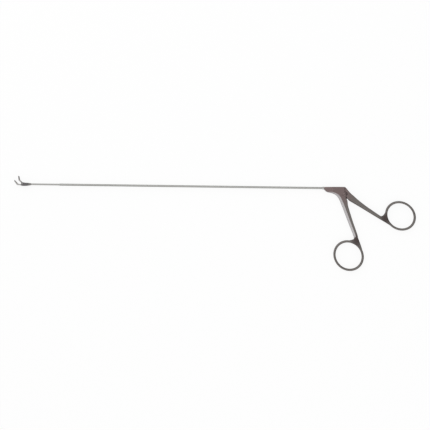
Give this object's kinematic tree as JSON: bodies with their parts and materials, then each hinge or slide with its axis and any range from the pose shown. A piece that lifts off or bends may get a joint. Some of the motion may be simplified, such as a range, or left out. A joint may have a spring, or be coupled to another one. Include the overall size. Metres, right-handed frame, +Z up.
{
  "type": "microlaryngeal cup forceps",
  "caption": "Long thin surgical forceps: ring handles at a pivot pull a rod through a straight tube and close an upturned cup jaw on a fixed one.",
  "frame": {"origin": "on the shaft axis, where the shaft tube's full-diameter wall ends at the nose ferrule", "axes": "+X back along the shaft towards the hand, +Y away from the finger rings, +Z up, out of the side that faces the viewer when the instrument lies on its side"},
  "size_m": [0.3619, 0.0817, 0.0051],
  "materials": {
    "handle_steel": "dark satin bead-blasted steel",
    "screw_steel": "turned steel with a fine satin finish",
    "ferrule_steel": "satin steel with a soldered joint",
    "tube_steel": "drawn tube, lengthwise satin",
    "jaw_steel": "fine satin, darker on the hinge head",
    "pin_steel": "ground pin",
    "rod_steel": "drawn wire and turned ends",
    "bush_bronze": "turned bearing bronze",
    "bush_polymer": "natural fluoropolymer"
  },
  "bodies": {
    "front_half": {"front_handle": "handle_steel", "pivot_screw": "screw_steel", "pivot_washers": "bush_bronze", "stop_pin": "screw_steel", "nose_ferrule": "ferrule_steel", "shaft_tube": "tube_steel", "distal_tube": "tube_steel", "tube_lock_screw": "screw_steel", "guide_bushes": "bush_polymer", "gland_bush": "bush_polymer", "fixed_jaw": "jaw_steel", "jaw_pin": "pin_steel"},
    "thumb_half": {"thumb_handle": "handle_steel", "pivot_bush": "bush_bronze"},
    "rod": {"pull_rod": "rod_steel", "rod_fork": "rod_steel", "drive_pin": "pin_steel", "rod_clevis": "rod_steel", "clevis_lock_nut": "rod_steel", "link_pin": "pin_steel"},
    "upper_jaw": {"moving_jaw": "jaw_steel"}
  },
  "joints": [
    {"name": "handle_squeeze", "type": "hinge", "parent": "front_half", "child": "thumb_half", "pos_m": [0.0202, -0.00535, 0], "axis": [0, 0, -1], "range_deg": [0, 8.76]},
    {"name": "rod_slide", "type": "slide", "parent": "front_half", "child": "rod", "axis": [1, 0, 0], "range_m": [0, 0.00082019]},
    {"name": "jaw_close", "type": "hinge", "parent": "front_half", "child": "upper_jaw", "pos_m": [-0.2695, 0.00055, 0], "axis": [0, 0, 1], "range_deg": [0, 35.02]}
  ],
  "couplings": [
    {"joint": "rod_slide", "follows": "handle_squeeze", "m_per_rad": 0.0053605},
    {"joint": "jaw_close", "follows": "handle_squeeze", "ratio": 3.9944}
  ]
}
